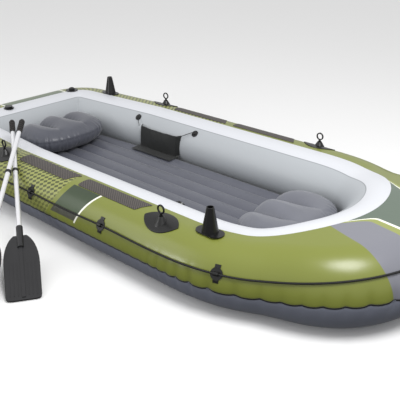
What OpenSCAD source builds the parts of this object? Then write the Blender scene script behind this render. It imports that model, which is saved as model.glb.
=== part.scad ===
// Open inflatable boat with two crossed oars leaning on its starboard tube.
// Millimetres. +X bow, +Y port, +Z up; the ground is z = 0, x = 0 is amidships.

/* [Hull] */
// Height of the side tubes above the ground
tube_height = 328; // [320:1:336]
// Extra height of the tube top at the bow
bow_rise = 54; // [40:1:60]
// Half width of the boat at the colour line between outer and inner chamber
half_beam = 556; // [550:1:562]
// The same half width where the sides meet the transom
stern_half_beam = 490; // [484:1:496]
// X of the colour line across the transom
stern_x = -1460; // [-1470:1:-1450]
// X where the sides stop tapering towards the stern
taper_x = -655; // [-660:1:-650]
// X where the bow curve begins
bow_start_x = 652; // [646:1:658]
// Length of the bow curve
bow_length = 622; // [612:1:632]
// Radius of the colour line at the stern corners
corner_r = 146; // [140:1:150]
// Clear gap between neighbouring skins of the hull
skin_gap = 0.4; // [0.3:0.05:0.6]

/* [Floor and cushions] */
// Height of the rib crests of the inflatable floor
floor_top = 110; // [106:1:112]
// Number of lengthwise ribs in the floor
floor_ribs = 7; // [5:1:9]
// Depth of the valleys between ribs
rib_depth = 16; // [10:1:20]
// Height of the bow seat cushion
cushion_h = 140; // [130:1:146]
// Height of the stern seat cushion
stern_cushion_h = 182; // [170:1:190]

/* [Grab line] */
// Radius of the rope
rope_r = 4; // [3.5:0.1:4.4]
// Bore radius of the rope holders
holder_bore_r = 5; // [4.9:0.1:5.5]

/* [Oarlocks] */
// Radius of the pin under each oarlock ring
pin_r = 6; // [5:0.5:7]
// Radial clearance of the running fits
run_gap = 0.05; // [0.02:0.01:0.1]
// Inside radius of each oarlock ring
ring_in_r = 15.5; // [15:0.5:17]
// Height of the ring centre above the tube
ring_up = 61; // [58:1:64]

/* [Rod holders] */
// Bore radius that takes the butt of a fishing rod
rod_bore_r = 14; // [13:0.5:14.5]
// Height of the rod holder's mouth above the ground
rod_top_z = 450; // [440:1:455]

/* [Oars] */
// Length of each oar
oar_length = 1328; // [1320:1:1336]
// Radius of the shaft
shaft_r = 12.5; // [12:0.1:12.8]
// Wall of the shaft tube
shaft_wall = 1.5; // [1.2:0.1:2]
// Greatest half width of the blade
blade_half = 84; // [80:1:86]
// Height of the collar's middle along the oar
collar_at = 885; // [880:1:890]
// Seam between the two shaft halves
seam_at = 625; // [600:1:650]

/* [Hidden] */
$fn = 64;

// tube section: outer arc centre at w = out_g, inner arc centre out_d inboard of it
function sstep(a) = let (k = min(max(a, 0), 1)) k * k * (3 - 2 * k);
function top_z(x) = tube_height + bow_rise * sstep((x - 933) / 341);
function tube_r(x) = top_z(x) / 2;
function out_g(x) = 42 + 143 * sstep((x - 1004) / 270);
function out_d(x) = 77 + 129 * sstep((x - 1004) / 270);
function rope_a(x) = 23.5 + 15.8 * sstep((x - 1004) / 270);
function seam_a(x) = -5.2 + 8 * sstep((x - 1004) / 270);

// colour line of the port half, from the middle of the transom to the nose
slope = (half_beam - stern_half_beam) / (taper_x - stern_x);
turn = 90 - atan(slope);
fillet_t = corner_r * tan(turn / 2);
corner_c = [stern_x + corner_r, stern_half_beam - fillet_t];
half_dir = 180 - turn / 2;
corner_steps = 8;
bow_steps = 16;
function unit(v) = v / norm(v);
function bow_pt(s) = [
  bow_start_x + bow_length * pow(sin(s), 5 / 6),
  half_beam * cos(s)
];
function bow_n(s) = unit([
  half_beam * sin(s),
  bow_length * 5 / 6 * pow(sin(s), -1 / 6) * cos(s)
]);
// each station: x, y, outward x, outward y, corner angle or 0
half_line = concat(
  [[stern_x, 0, -1, 0, 0]],
  [for (j = [0 : corner_steps])
    let (a = 180 - turn * j / corner_steps)
    [corner_c[0] + corner_r * cos(a), corner_c[1] + corner_r * sin(a), cos(a), sin(a), a]],
  [[taper_x, half_beam, -sin(atan(slope) / 2), cos(atan(slope) / 2), 0]],
  [[bow_start_x, half_beam, 0, 1, 0]],
  [for (j = [1 : bow_steps])
    let (s = 90 * j / bow_steps, p = bow_pt(s), n = bow_n(s))
    [p[0], p[1], n[0], n[1], 0]]
);
half_n = len(half_line);
ring_n = 2 * half_n - 2;
function st(k) = half_line[k < half_n ? k : ring_n - k];
function sd(k) = k < half_n ? 1 : -1;
// point at the outward distance w from the colour line at station k
function corner_pt(a, w) =
  let (r = max(corner_r + w, 12), m = (corner_r + w - r) / cos(turn / 2))
  [
    corner_c[0] + m * cos(half_dir) + r * cos(a),
    corner_c[1] + m * sin(half_dir) + r * sin(a)
  ];
function at(k, w) =
  let (q = st(k), p = q[4] > 0 ? corner_pt(q[4], w) : [q[0] + w * q[2], q[1] + w * q[3]])
  [p[0], abs(p[1]) < 0.001 ? 0 : sd(k) * p[1]];

// closed sweep of a profile of [w, z] points round the whole boat
module ring_sweep(profiles) {
  m = len(profiles[0]);
  pts = [for (k = [0 : ring_n - 1]) for (j = [0 : m - 1])
    let (p = at(k, profiles[k][j][0])) [p[0], p[1], profiles[k][j][1]]];
  faces = [for (k = [0 : ring_n - 1]) for (j = [0 : m - 1]) for (h = [0, 1])
    let (k2 = (k + 1) % ring_n, j2 = (j + 1) % m,
      a = k * m + j, b = k2 * m + j, c = k2 * m + j2, d = k * m + j2)
    h == 0 ? [a, b, c] : [a, c, d]];
  polyhedron(points = pts, faces = faces, convexity = 8);
}

low_a = [-90, -75, -60, -45, -30, -15];
high_a = [12, 24, 36, 48, 60, 75, 90];
thin = 2.6;
function outer_profile(x) =
  let (r = tube_r(x), g = out_g(x), s = seam_a(x))
  concat(
    [[skin_gap / 2, thin]],
    [for (a = low_a) [g + (r - thin) * cos(a), r + (r - thin) * sin(a)]],
    [[g + (r - thin) * cos(s), r + (r - thin) * sin(s)]],
    [[g + r * cos(s + 0.7), r + r * sin(s + 0.7)]],
    [for (a = high_a) [g + r * cos(a), r + r * sin(a)]],
    [[skin_gap / 2, 2 * r]]
  );
function inner_profile(x) =
  let (r = tube_r(x), c = out_g(x) - out_d(x))
  concat(
    [[-skin_gap / 2, 2 * r]],
    [for (a = [90 : 15 : 180]) [c + r * cos(a), r + r * sin(a)]],
    [for (a = [195 : 15 : 270]) [c + r * cos(a), r + (r - thin) * sin(a)]],
    [[-skin_gap / 2, thin]]
  );
function skirt_profile(x) =
  let (r = tube_r(x), g = out_g(x), c = out_g(x) - out_d(x), s = seam_a(x))
  concat(
    [[c, 0.5]],
    [for (a = low_a) [g + (r - 0.5) * cos(a), r + (r - 0.5) * sin(a)]],
    [[g + (r - 0.5) * cos(s), r + (r - 0.5) * sin(s)]],
    [[g + (r - 2.2) * cos(s), r + (r - 2.2) * sin(s)]],
    [for (i = [5 : -1 : 0]) [g + (r - 2.2) * cos(low_a[i]), r + (r - 2.2) * sin(low_a[i])]],
    [[c, 2.2]]
  );
function inner_w(x) = out_g(x) - out_d(x) - tube_r(x);

module outer_chamber() {
  color([0.59, 0.63, 0.35])
    ring_sweep([for (k = [0 : ring_n - 1]) outer_profile(st(k)[0])]);
}

module inner_chamber() {
  color([0.72, 0.74, 0.76])
    ring_sweep([for (k = [0 : ring_n - 1]) inner_profile(st(k)[0])]);
}

module bottom_skirt() {
  color([0.37, 0.39, 0.44])
    ring_sweep([for (k = [0 : ring_n - 1]) skirt_profile(st(k)[0])]);
}

module bottom_sheet() {
  color([0.37, 0.39, 0.44])
    linear_extrude(2)
      polygon([for (k = [0 : ring_n - 1])
        at(k, out_g(st(k)[0]) - out_d(st(k)[0]) - skin_gap)]);
}

// lobed floor: a ribbed slab trimmed to the outline of the inner wall
rib_pitch = 2 * (half_beam - 199) / floor_ribs;
rib_r = (rib_pitch * rib_pitch / 4 + rib_depth * rib_depth) / (2 * rib_depth);
rib_half_a = asin(rib_pitch / 2 / rib_r);
module floor_section() {
  polygon(concat(
    [[-half_beam + 199, thin], [half_beam - 199, thin]],
    [for (i = [floor_ribs - 1 : -1 : 0]) for (j = [0 : 5])
      let (a = rib_half_a * (1 - 2 * j / 6))
      [(i - (floor_ribs - 1) / 2) * rib_pitch + rib_r * sin(a),
        floor_top - rib_r + rib_r * cos(a)]],
    [[-half_beam + 199, floor_top - rib_depth]]
  ));
}

module floor_chamber() {
  color([0.41, 0.42, 0.46])
    intersection() {
      translate([stern_x, 0, 0])
        rotate([90, 0, 90])
          linear_extrude(bow_start_x + bow_length - stern_x)
            floor_section();
      linear_extrude(tube_height)
        polygon([for (k = [0 : ring_n - 1]) at(k, inner_w(st(k)[0]) - 1.5)]);
    }
}

// local frame on the starboard or port side tube: X along it, Y outboard, Z up
side_r = tube_height / 2;
module on_side(x, side) {
  y = x < taper_x ? stern_half_beam + (x - stern_x) * slope : half_beam;
  yaw = x < taper_x ? atan(slope) : 0;
  mirror([0, side > 0 ? 0 : 1, 0])
    translate([x, y, 0])
      rotate([0, 0, yaw])
        children();
}

// textured strips that follow the top of the side tubes
module grip_strip(x0, x1) {
  strip_a = [90, 85, 80, 75, 71];
  intersection() {
    rotate([90, 0, 90])
      translate([0, 0, x0])
        linear_extrude(x1 - x0)
          polygon(concat(
            [[20, side_r * 2 + 0.3]],
            [for (a = strip_a) [42 + (side_r + 0.3) * cos(a), side_r + (side_r + 0.3) * sin(a)]],
            [for (i = [4 : -1 : 0])
              [42 + (side_r + 2.8) * cos(strip_a[i]), side_r + (side_r + 2.8) * sin(strip_a[i])]],
            [[20, side_r * 2 + 2.8]]
          ));
    linear_extrude(tube_height + 20)
      polygon([
        [x0 + 4, 30], [x0 + 12, 22], [x0 + 24, 18], [x1 - 36, 18], [x1 - 2, 20],
        [x1, 24], [x1 - 40, 92], [x1 - 50, 98], [x0 + 12, 98], [x0 + 2, 88]
      ]);
  }
}

module grip_strips(side) {
  mirror([0, side > 0 ? 0 : 1, 0])
    translate([0, half_beam, 0]) {
      grip_strip(-560, -95);
      grip_strip(-40, 430);
    }
}

module grip_strips_port() {
  color([0.29, 0.27, 0.27])
    grip_strips(1);
}

module grip_strips_starboard() {
  color([0.29, 0.27, 0.27])
    grip_strips(-1);
}

// rope all round the boat, standing just off the outer skin
rope_off = 9;
function rope_w(x) = out_g(x) + (tube_r(x) + rope_off) * cos(rope_a(x));
function rope_z(x) = tube_r(x) + (tube_r(x) + rope_off) * sin(rope_a(x));
module grab_line() {
  color([0.08, 0.08, 0.08])
    ring_sweep([for (k = [0 : ring_n - 1])
      let (x = st(k)[0])
      [for (i = [0 : 7]) [rope_w(x) + rope_r * cos(45 * i), rope_z(x) + rope_r * sin(45 * i)]]]);
}

// a rope holder in the tube section's own frame: disc patch with a bored saddle
module holder_shape(r, a) {
  translate([0, 0, r])
    rotate([a - 90, 0, 0])
      difference() {
        union() {
          translate([0, 0, r + 0.4])
            cylinder(r = 28, h = 3);
          intersection() {
            rotate([0, 90, 0])
              cylinder(r = r + 3.2, h = 26, center = true);
            translate([-13, -40, 0])
              cube([26, 80, r + 20]);
          }
          translate([-11, -9, r + 3])
            cube([22, 18, rope_off - 3]);
          translate([-11, 0, r + rope_off])
            rotate([0, 90, 0])
              cylinder(r = 9, h = 22);
        }
        translate([-14, 0, r + rope_off])
          rotate([0, 90, 0])
            cylinder(r = holder_bore_r, h = 28);
        rotate([0, 90, 0])
          cylinder(r = r + 0.3, h = 80, center = true);
      }
}

// station position on the bow where the foremost holders sit
holder_s = 18.5;
module bow_holder(side) {
  p = bow_pt(holder_s);
  n = bow_n(holder_s);
  mirror([0, side > 0 ? 0 : 1, 0])
    translate([p[0], p[1], 0])
      rotate([0, 0, atan2(n[1], n[0]) - 90])
        translate([0, out_g(p[0]), 0])
          holder_shape(tube_r(p[0]), rope_a(p[0]));
}

module rope_holders() {
  color([0.07, 0.07, 0.07]) {
    for (side = [-1, 1]) {
      for (x = [-886, -318, 250])
        on_side(x, side)
          translate([0, 42, 0])
            holder_shape(side_r, rope_a(0));
      bow_holder(side);
      translate([stern_x - 42, side * 236, 0])
        rotate([0, 0, 90])
          holder_shape(side_r, rope_a(0));
    }
  }
}

// oarlock: leaf patch with a bored boss, and the ring that swivels in it
lock_y = 95;
lock_z = side_r + sqrt(side_r * side_r - (lock_y - 42) * (lock_y - 42));
lock_top = lock_z + 28;
module leaf(l, w, h) {
  r = (l * l / 4 + w * w / 4) / w;
  intersection() {
    translate([0, r - w / 2, 0])
      cylinder(r = r, h = h);
    translate([0, w / 2 - r, 0])
      cylinder(r = r, h = h);
  }
}

module oarlock_base(x, side) {
  on_side(x, side)
    difference() {
      union() {
        intersection() {
          translate([-120, 42, side_r])
            rotate([0, 90, 0])
              cylinder(r = side_r + 4, h = 240);
          translate([0, 42, side_r])
            rotate([acos((lock_y - 42) / side_r) - 90, 0, 0])
              leaf(212, 124, side_r + 20);
        }
        translate([0, lock_y, lock_z - 18])
          cylinder(r1 = 40, r2 = 13, h = lock_top - lock_z + 18);
      }
      translate([-130, 42, side_r])
        rotate([0, 90, 0])
          cylinder(r = side_r + 0.3, h = 260);
      translate([0, lock_y, lock_top - 22])
        cylinder(r = pin_r + run_gap, h = 30);
    }
}

module oarlock_ring(x, side) {
  on_side(x, side)
    translate([0, lock_y, 0]) {
      translate([0, 0, lock_top - 20])
        cylinder(r = pin_r, h = 34);
      translate([0, 0, lock_top + 0.3])
        cylinder(r = 9, h = 5);
      translate([0, 0, lock_z + ring_up])
        rotate([90, 0, 0])
          rotate_extrude()
            polygon([
              [ring_in_r, -3], [ring_in_r + 1.5, -4.5], [ring_in_r + 5, -4.5], [ring_in_r + 7, -2.5],
              [ring_in_r + 7, 2.5], [ring_in_r + 5, 4.5], [ring_in_r + 1.5, 4.5], [ring_in_r, 3]
            ]);
    }
}

lock_aft = -690;
lock_fore = 563;
module oarlock_base_port_aft() {
  color([0.09, 0.09, 0.09])
    oarlock_base(lock_aft, 1);
}

module oarlock_base_port_fore() {
  color([0.09, 0.09, 0.09])
    oarlock_base(lock_fore, 1);
}

module oarlock_base_starboard_aft() {
  color([0.09, 0.09, 0.09])
    oarlock_base(lock_aft, -1);
}

module oarlock_base_starboard_fore() {
  color([0.09, 0.09, 0.09])
    oarlock_base(lock_fore, -1);
}

module oarlock_ring_port_aft() {
  color([0.12, 0.12, 0.12])
    oarlock_ring(lock_aft, 1);
}

module oarlock_ring_port_fore() {
  color([0.12, 0.12, 0.12])
    oarlock_ring(lock_fore, 1);
}

module oarlock_ring_starboard_aft() {
  color([0.12, 0.12, 0.12])
    oarlock_ring(lock_aft, -1);
}

module oarlock_ring_starboard_fore() {
  color([0.12, 0.12, 0.12])
    oarlock_ring(lock_fore, -1);
}

// tapered rod holder on an oval foot; its bore is blind and opens upwards
module rod_holder(x, y, surface_z) {
  translate([x, y, surface_z]) {
    difference() {
      union() {
        cylinder(r1 = 39, r2 = 17, h = rod_top_z - surface_z);
        translate([-32, 0, 0])
          cylinder(r = 39, h = 5);
        translate([32, 0, 0])
          cylinder(r = 39, h = 5);
        translate([-32, -39, 0])
          cube([64, 78, 5]);
      }
      translate([0, 0, 8])
        cylinder(r = rod_bore_r, h = rod_top_z);
    }
  }
}

module rod_holder_port() {
  color([0.08, 0.08, 0.08])
    rod_holder(-1178, 552, tube_height + 0.4);
}

module rod_holder_starboard() {
  color([0.08, 0.08, 0.08])
    rod_holder(806, -594, tube_height + 0.6);
}

// sockets for a motor bracket at the stern corners
socket_x = -1449;
socket_y = 406;
module motor_socket(side) {
  translate([socket_x, side * socket_y, tube_height + 0.4])
    difference() {
      union() {
        cylinder(r = 44, h = 5);
        cylinder(r = 22, h = 16);
        translate([0, 0, 16])
          cylinder(r1 = 22, r2 = 15, h = 6);
      }
      translate([0, 0, 4])
        cylinder(r = 8, h = 30);
    }
}

module motor_mount_fittings() {
  color([0.1, 0.1, 0.1]) {
    motor_socket(1);
    motor_socket(-1);
  }
}

// screw valve: flanged body with an air hole, and the cap that turns on its neck
module valve_body() {
  difference() {
    union() {
      cylinder(r = 34, h = 4);
      cylinder(r = 20, h = 13);
    }
    translate([0, 0, 3])
      cylinder(r = 13, h = 20);
  }
}

module valve_cap() {
  difference() {
    union() {
      translate([0, 0, 4.4])
        cylinder(r = 25, h = 11.6);
      translate([-29, -4, 9])
        cube([58, 8, 7]);
    }
    translate([0, 0, 4])
      cylinder(r = 20 + run_gap, h = 9.4);
  }
}

module at_hull_valve() {
  translate([-1409, -162, tube_height + 0.4])
    children();
}

inner_lift = 31.6;
module at_inner_valve() {
  translate([420, -half_beam + 35, side_r])
    rotate([inner_lift - 90, 0, 0])
      translate([0, 0, side_r + 0.4])
        children();
}

module at_floor_valve() {
  translate([-350, -2.5 * rib_pitch + rib_pitch / 2, floor_top + 0.4])
    children();
}

module hull_valve() {
  color([0.1, 0.1, 0.1])
    at_hull_valve()
      valve_body();
}

module hull_valve_cap() {
  color([0.12, 0.12, 0.12])
    at_hull_valve()
      valve_cap();
}

module inner_valve() {
  color([0.1, 0.1, 0.1])
    at_inner_valve()
      valve_body();
}

module inner_valve_cap() {
  color([0.12, 0.12, 0.12])
    at_inner_valve()
      valve_cap();
}

module floor_valve() {
  color([0.1, 0.1, 0.1])
    at_floor_valve()
      valve_body();
}

module floor_valve_cap() {
  color([0.12, 0.12, 0.12])
    at_floor_valve()
      valve_cap();
}

// battery pouch on the port inner wall, open at the top, with a flap on the floor
pouch_x0 = -650;
pouch_x1 = -290;
wall_c = [half_beam - 35, side_r];
module pouch_cut() {
  translate(wall_c)
    circle(r = side_r + 0.4, $fn = 96);
}

module battery_pouch() {
  color([0.07, 0.08, 0.08]) {
    translate([pouch_x0, 0, 0])
      rotate([90, 0, 90]) {
        linear_extrude(pouch_x1 - pouch_x0)
          difference() {
            union() {
              polygon([[333, 110.6], [335.2, 110.6], [347.2, 255], [345, 255]]);
              polygon([[262, 110.6], [372, 110.6], [372, 112.8], [262, 112.8]]);
            }
            pouch_cut();
          }
        linear_extrude(2)
          difference() {
            polygon([[334, 111], [366, 111], [376, 246], [345.5, 246]]);
            pouch_cut();
          }
        translate([0, 0, pouch_x1 - pouch_x0 - 2])
          linear_extrude(2)
            difference() {
              polygon([[334, 111], [366, 111], [376, 246], [345.5, 246]]);
              pouch_cut();
            }
      }
  }
}

// snap discs on the wall above the pouch
eye_z = 280;
eye_a = asin((eye_z - side_r) / side_r);
function side_y(x) = x < taper_x ? stern_half_beam + (x - stern_x) * slope : half_beam;
function eye_pt(x, off) = [
  x,
  side_y(x) - 35 - (side_r + off) * cos(eye_a),
  side_r + (side_r + off) * sin(eye_a)
];
eye_x = [-727, -199];
module pouch_eyelets() {
  color([0.06, 0.06, 0.06])
    for (x = eye_x)
      on_side(x, 1)
        translate([0, -35, side_r])
          rotate([90 - eye_a, 0, 0])
            translate([0, 0, side_r + 0.4]) {
              cylinder(r = 22, h = 3);
              cylinder(r1 = 15, r2 = 8, h = 9);
            }
}

module rod_between(a, b, r) {
  v = b - a;
  translate(a)
    rotate([0, acos(v[2] / norm(v)), atan2(v[1], v[0])])
      cylinder(r = r, h = norm(v), $fn = 24);
}

module pouch_cords() {
  color([0.06, 0.06, 0.06]) {
    rod_between([pouch_x0 + 1, 341.2, 250], eye_pt(eye_x[0] + 14, 12.6), 2.2);
    rod_between([pouch_x1 - 1, 341.2, 250], eye_pt(eye_x[1] - 14, 12.6), 2.2);
  }
}

// seat cushions: soft pads with round edges
module pad_disc(r, high) {
  e = high / 2;
  rotate_extrude($fn = 32)
    polygon(concat(
      [[0, 0]],
      [for (a = [-90 : 22.5 : 90]) [r - e + e * cos(a), e + e * sin(a)]],
      [[0, high]]
    ));
}

module stern_cushion() {
  color([0.42, 0.43, 0.46])
    translate([0, 0, floor_top + 0.5])
      hull() {
        for (y = [-1, 1]) {
          translate([-1108, y * 163, 0])
            pad_disc(137, stern_cushion_h);
          translate([-1015, y * 60, 0])
            pad_disc(170, stern_cushion_h);
        }
      }
}

module bow_cushion() {
  color([0.5, 0.51, 0.54])
    translate([0, 0, floor_top + 0.5])
      hull() {
        for (y = [-1, 1]) {
          translate([755, y * 160, 0])
            pad_disc(135, cushion_h);
          translate([875, y * 60, 0])
            pad_disc(150, cushion_h);
        }
      }
}

// oars, modelled along their own +Z from the blade's foot to the end of the grip
// rear oar lies on the tube; the front one lies across it
module rear_oar() {
  translate([218.3, -1183.8, 7.4])
    rotate([0, 70.742, 146.88])
      children();
}

module front_oar() {
  translate([104.7, -1382.5, 8.6])
    rotate([0, 70.073, 133.52])
      children();
}

function blade_w(z) =
  z < 220 ? blade_half - 4 * (1 - z / 220)
  : blade_half * sqrt(max(1 - pow((z - 220) / 190, 2), 0.03));
blade_pts = [25, 60, 100, 140, 180, 220, 250, 280, 305, 330, 350, 370, 385, 396];
module blade_shape() {
  difference() {
    union() {
      rotate([0, -90, 0])
        linear_extrude(height = 7, center = true)
          polygon(concat(
            [[0, -blade_w(0) + 24], [3, -blade_w(0) + 10], [10, -blade_w(0) + 3]],
            [for (z = blade_pts) [z, -blade_w(z)]],
            [for (i = [len(blade_pts) - 1 : -1 : 0]) [blade_pts[i], blade_w(blade_pts[i])]],
            [[10, blade_w(0) - 3], [3, blade_w(0) - 10], [0, blade_w(0) - 24]]
          ));
      for (y = [-60, -42, -24, 24, 42, 60])
        translate([-5, y - 2, 24])
          cube([10, 4, 200]);
      translate([-7, -8, 14])
        cube([14, 16, 320]);
      translate([0, 0, 318])
        cylinder(r = 16.5, h = 138);
    }
    translate([0, 0, 344])
      cylinder(r = shaft_r + run_gap, h = 130);
  }
}

button_at = 600;
module lower_shape() {
  difference() {
    translate([0, 0, 344.3])
      cylinder(r = shaft_r, h = seam_at - 344.3);
    translate([0, 0, 340])
      cylinder(r = shaft_r - shaft_wall, h = seam_at);
    translate([0, 0, button_at])
      rotate([0, 90, 0])
        cylinder(r = 4 + run_gap, h = 20);
  }
}

module upper_shape() {
  difference() {
    union() {
      translate([0, 0, seam_at - 60])
        cylinder(r = shaft_r - shaft_wall - 0.05, h = 80);
      translate([0, 0, seam_at + 0.3])
        cylinder(r = shaft_r, h = 1318 - seam_at);
    }
    translate([0, 0, seam_at - 70])
      cylinder(r = shaft_r - 2 * shaft_wall, h = 800);
    translate([0, 0, button_at])
      rotate([0, 90, 0])
        cylinder(r = 4 + run_gap, h = 20);
  }
}

module button_shape() {
  translate([0, 0, button_at])
    rotate([0, 90, 0]) {
      translate([0, 0, 4.2])
        cylinder(r = 4, h = 10);
      translate([0, 0, 14.2])
        cylinder(r1 = 4, r2 = 2.6, h = 1.4);
    }
}

module grip_shape() {
  difference() {
    union() {
      translate([0, 0, 1220])
        cylinder(r = 14.6, h = 100);
      for (i = [0 : 5])
        translate([0, 0, 1222 + 17 * i])
          cylinder(r = 16.5, h = 10);
      translate([0, 0, 1316])
        cylinder(r1 = 16.5, r2 = 12, h = oar_length - 1316);
    }
    translate([0, 0, 1210])
      cylinder(r = shaft_r + run_gap, h = 108.6);
  }
}

module collar_shape() {
  translate([0, 0, collar_at])
    rotate_extrude()
      polygon([
        [shaft_r + run_gap, -9], [15.5, -9], [17.5, -6], [18, 0], [17.5, 6], [15.5, 9],
        [shaft_r + run_gap, 9]
      ]);
}

module rear_blade() {
  color([0.17, 0.17, 0.18])
    rear_oar()
      blade_shape();
}

module rear_shaft_lower() {
  color([0.84, 0.84, 0.85])
    rear_oar()
      lower_shape();
}

module rear_shaft_upper() {
  color([0.84, 0.84, 0.85])
    rear_oar()
      upper_shape();
}

module rear_grip() {
  color([0.17, 0.16, 0.16])
    rear_oar()
      grip_shape();
}

module rear_collar() {
  color([0.06, 0.06, 0.06])
    rear_oar()
      collar_shape();
}

module rear_button() {
  color([0.8, 0.8, 0.8])
    rear_oar()
      button_shape();
}

module front_blade() {
  color([0.17, 0.17, 0.18])
    front_oar()
      blade_shape();
}

module front_shaft_lower() {
  color([0.84, 0.84, 0.85])
    front_oar()
      lower_shape();
}

module front_shaft_upper() {
  color([0.84, 0.84, 0.85])
    front_oar()
      upper_shape();
}

module front_grip() {
  color([0.17, 0.16, 0.16])
    front_oar()
      grip_shape();
}

module front_collar() {
  color([0.06, 0.06, 0.06])
    front_oar()
      collar_shape();
}

module front_button() {
  color([0.8, 0.8, 0.8])
    front_oar()
      button_shape();
}

outer_chamber();
inner_chamber();
bottom_sheet();
bottom_skirt();
floor_chamber();
grip_strips_port();
grip_strips_starboard();
grab_line();
rope_holders();
oarlock_base_port_aft();
oarlock_base_port_fore();
oarlock_base_starboard_aft();
oarlock_base_starboard_fore();
oarlock_ring_port_aft();
oarlock_ring_port_fore();
oarlock_ring_starboard_aft();
oarlock_ring_starboard_fore();
rod_holder_port();
rod_holder_starboard();
motor_mount_fittings();
hull_valve();
hull_valve_cap();
inner_valve();
inner_valve_cap();
floor_valve();
floor_valve_cap();
battery_pouch();
pouch_cords();
pouch_eyelets();
stern_cushion();
bow_cushion();
rear_blade();
rear_shaft_lower();
rear_shaft_upper();
rear_grip();
rear_collar();
rear_button();
front_blade();
front_shaft_lower();
front_shaft_upper();
front_grip();
front_collar();
front_button();
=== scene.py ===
"""Looks of an open inflatable boat with seat cushions, fittings and a crossed pair of oars."""

import logging
import math
from dataclasses import dataclass
from enum import Enum
from typing import Callable, Sequence

import bpy
import numpy as np
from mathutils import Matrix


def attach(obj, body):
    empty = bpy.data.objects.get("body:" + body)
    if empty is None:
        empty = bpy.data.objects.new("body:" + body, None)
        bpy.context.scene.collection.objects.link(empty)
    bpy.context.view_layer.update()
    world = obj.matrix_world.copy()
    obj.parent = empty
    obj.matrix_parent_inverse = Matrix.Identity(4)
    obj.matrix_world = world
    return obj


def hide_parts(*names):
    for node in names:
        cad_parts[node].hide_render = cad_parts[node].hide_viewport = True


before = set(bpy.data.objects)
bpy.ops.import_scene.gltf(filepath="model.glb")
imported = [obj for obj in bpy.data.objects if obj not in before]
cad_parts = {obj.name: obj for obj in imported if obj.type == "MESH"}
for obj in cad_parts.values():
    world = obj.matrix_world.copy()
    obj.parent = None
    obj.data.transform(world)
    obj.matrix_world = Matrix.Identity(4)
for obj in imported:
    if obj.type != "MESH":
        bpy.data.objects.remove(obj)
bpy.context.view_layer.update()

MM = 0.001
RGBA = {"data_type": "RGBA"}
Vec = tuple[float, float, float]
Section = list[Vec]
Station = tuple[float, float, float, float, float]
Piece = bpy.types.Object
Socket = bpy.types.NodeSocket
LOG = logging.getLogger("inflatable_boat")


def smooth_step(value: float) -> float:
    """Returns the cubic ease of value between 0 and 1."""
    k = min(max(value, 0.0), 1.0)
    return k * k * (3 - 2 * k)


def linear(hex_colour: str) -> tuple[float, float, float, float]:
    """Turns an sRGB hex colour to linear light.

    Args:
        hex_colour: six hex digits, such as "97A04E".

    Returns:
        The linear red, green, blue and an alpha of 1.
    """
    parts = [int(hex_colour[i:i + 2], 16) / 255 for i in (0, 2, 4)]
    lin = [c / 12.92 if c <= 0.04045 else ((c + 0.055) / 1.055) ** 2.4 for c in parts]
    return (lin[0], lin[1], lin[2], 1.0)


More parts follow.
